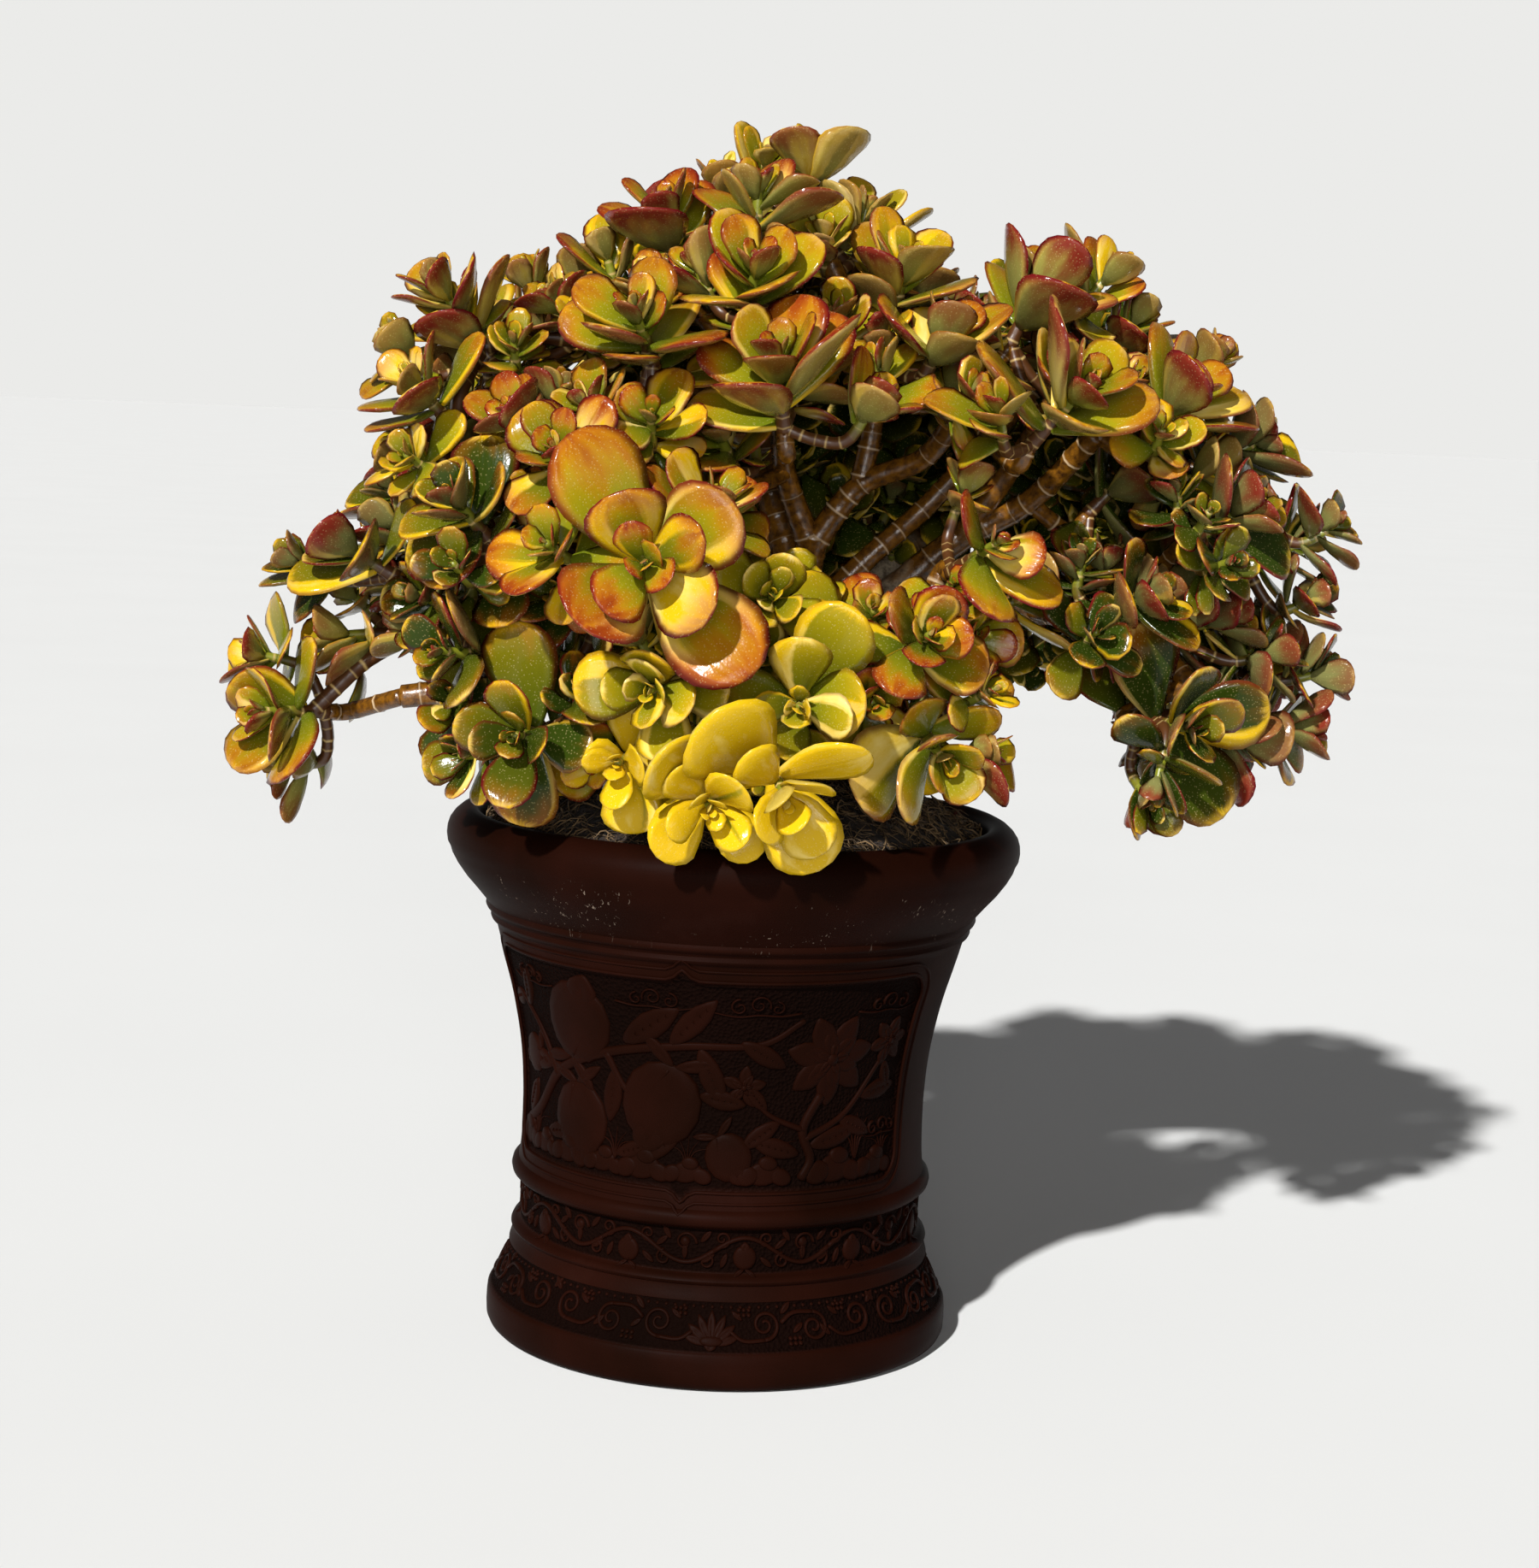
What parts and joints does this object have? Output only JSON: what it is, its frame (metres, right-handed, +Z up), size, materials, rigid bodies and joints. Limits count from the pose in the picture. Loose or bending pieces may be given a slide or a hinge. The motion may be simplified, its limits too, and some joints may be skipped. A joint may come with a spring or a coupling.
{
  "type": "jade bonsai",
  "caption": "Jade plant trained as a bonsai, with a dense domed crown of fleshy leaves, in a waisted round clay pot with relief bands.",
  "frame": {"origin": "on the pot's axis, in the plane of the pot's flat underside", "axes": "+Z up along the pot's axis, -Y towards the front with the larger panel of relief and the thickest foliage, +X to the plant's right as seen from the front"},
  "size_m": [0.462, 0.3518, 0.5065],
  "materials": {
    "pot_clay": "matte",
    "soil": "matte",
    "bark": "matte",
    "leaf": "gloss"
  },
  "bodies": {
    "root": {"pot": "pot_clay", "soil": "soil", "trunk_and_branches": "bark", "leafy_spray_01": "leaf", "leafy_spray_02": "leaf", "leafy_spray_03": "leaf", "leafy_spray_04": "leaf", "leafy_spray_05": "leaf", "leafy_spray_06": "leaf", "leafy_spray_07": "leaf", "leafy_spray_08": "leaf", "leafy_spray_09": "leaf", "leafy_spray_10": "leaf", "leafy_spray_11": "leaf", "leafy_spray_12": "leaf", "leafy_spray_13": "leaf", "leafy_spray_14": "leaf", "leafy_spray_15": "leaf", "leafy_spray_16": "leaf", "leafy_spray_17": "leaf", "leafy_spray_18": "leaf", "leafy_spray_19": "leaf", "leafy_spray_20": "leaf", "leafy_spray_21": "leaf", "leafy_spray_22": "leaf", "leafy_spray_23": "leaf", "leafy_spray_24": "leaf", "leafy_spray_25": "leaf", "leafy_spray_26": "leaf", "leafy_spray_27": "leaf", "leafy_spray_28": "leaf", "leafy_spray_29": "leaf", "leafy_spray_30": "leaf", "leafy_spray_31": "leaf", "leafy_spray_32": "leaf", "leafy_spray_33": "leaf", "leafy_spray_34": "leaf", "leafy_spray_35": "leaf", "leafy_spray_36": "leaf", "leafy_spray_37": "leaf", "leafy_spray_38": "leaf", "leafy_spray_39": "leaf", "leafy_spray_40": "leaf", "leafy_spray_41": "leaf", "leafy_spray_42": "leaf", "leafy_spray_43": "leaf", "leafy_spray_44": "leaf", "leafy_spray_45": "leaf", "leafy_spray_46": "leaf", "leafy_spray_47": "leaf", "leafy_spray_48": "leaf", "leafy_spray_49": "leaf", "leafy_spray_50": "leaf", "leafy_spray_51": "leaf", "leafy_spray_52": "leaf", "leafy_spray_53": "leaf", "leafy_spray_54": "leaf", "leafy_spray_55": "leaf", "leafy_spray_56": "leaf", "leafy_spray_57": "leaf"}
  },
  "joints": []
}
